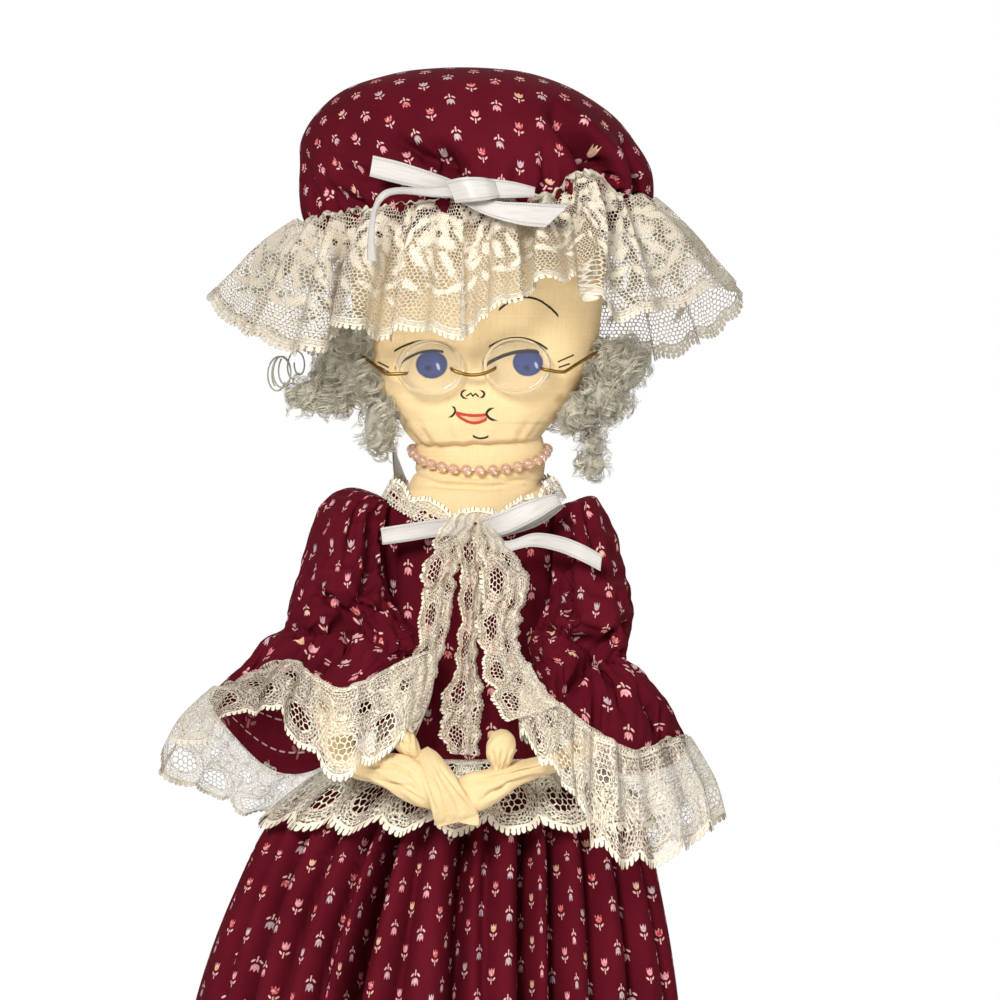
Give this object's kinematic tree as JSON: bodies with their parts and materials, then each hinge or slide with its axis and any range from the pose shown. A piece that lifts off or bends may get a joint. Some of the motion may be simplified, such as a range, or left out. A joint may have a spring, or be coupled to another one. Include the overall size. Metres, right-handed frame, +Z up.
{
  "type": "cloth bag holder doll",
  "caption": "Stuffed cloth doll with lace cap, spectacles and knotted hands, hung by a ribbon loop, whose gathered tube skirt stores carrier bags.",
  "frame": {"origin": "top of the hanging loop, where a hook or nail carries it", "axes": "+Z up along the doll, the face looks along -Y, +X to the viewer's right"},
  "size_m": [0.2209, 0.1295, 0.6609],
  "materials": {
    "muslin": "plain weave",
    "stuffing": "loose fibre",
    "lace": "open net",
    "elastic": "woven",
    "satin_ribbon": "satin",
    "mohair": "curled",
    "clear_plastic": "clear",
    "gold_wire": "polished",
    "pearl_bead": "pearly",
    "calico": "printed"
  },
  "bodies": {
    "body": {"body_skin": "muslin", "body_stuffing": "stuffing", "bodice_front": "calico", "bodice_back": "calico", "collar_lace": "lace", "necklace": "pearl_bead", "neck_bow": "satin_ribbon", "jabot_left": "lace", "jabot_middle": "lace", "jabot_right": "lace", "hang_loop": "satin_ribbon"},
    "head": {"head_skin": "muslin", "head_stuffing": "stuffing", "cap_crown": "calico", "cap_elastic": "elastic", "cap_lace": "lace", "cap_bow": "satin_ribbon", "hair_left": "mohair", "hair_right": "mohair", "hair_back": "mohair", "lens_left": "clear_plastic", "lens_right": "clear_plastic", "spectacle_bridge": "gold_wire", "temple_left": "gold_wire", "temple_right": "gold_wire"},
    "arms": {"arm_left": "muslin", "thumb_left": "muslin", "sleeve_left": "calico", "sleeve_elastic_left": "elastic", "sleeve_flounce_left": "calico", "cuff_lace_left": "lace", "arm_right": "muslin", "thumb_right": "muslin", "sleeve_right": "calico", "sleeve_elastic_right": "elastic", "sleeve_flounce_right": "calico", "cuff_lace_right": "lace", "hand_knot": "muslin"},
    "skirt": {"skirt_front": "calico", "skirt_back": "calico", "skirt_waistband": "calico", "peplum_lace": "lace", "hem_elastic": "elastic", "hem_ruffle": "calico"}
  },
  "joints": [
    {"name": "head_nod", "type": "hinge", "parent": "body", "child": "head", "pos_m": [0, -0.0535, -0.084], "axis": [1, 0, 0], "range_deg": [0, 18], "stiffness_Nm_per_rad": 0.6},
    {"name": "arms_lift", "type": "hinge", "parent": "body", "child": "arms", "pos_m": [-0.0025, -0.0535, -0.104], "axis": [-1, 0, 0], "range_deg": [0, 52]},
    {"name": "skirt_swing", "type": "hinge", "parent": "body", "child": "skirt", "pos_m": [-0.0025, -0.0535, -0.192], "axis": [-1, 0, 0], "range_deg": [-14, 14]}
  ]
}
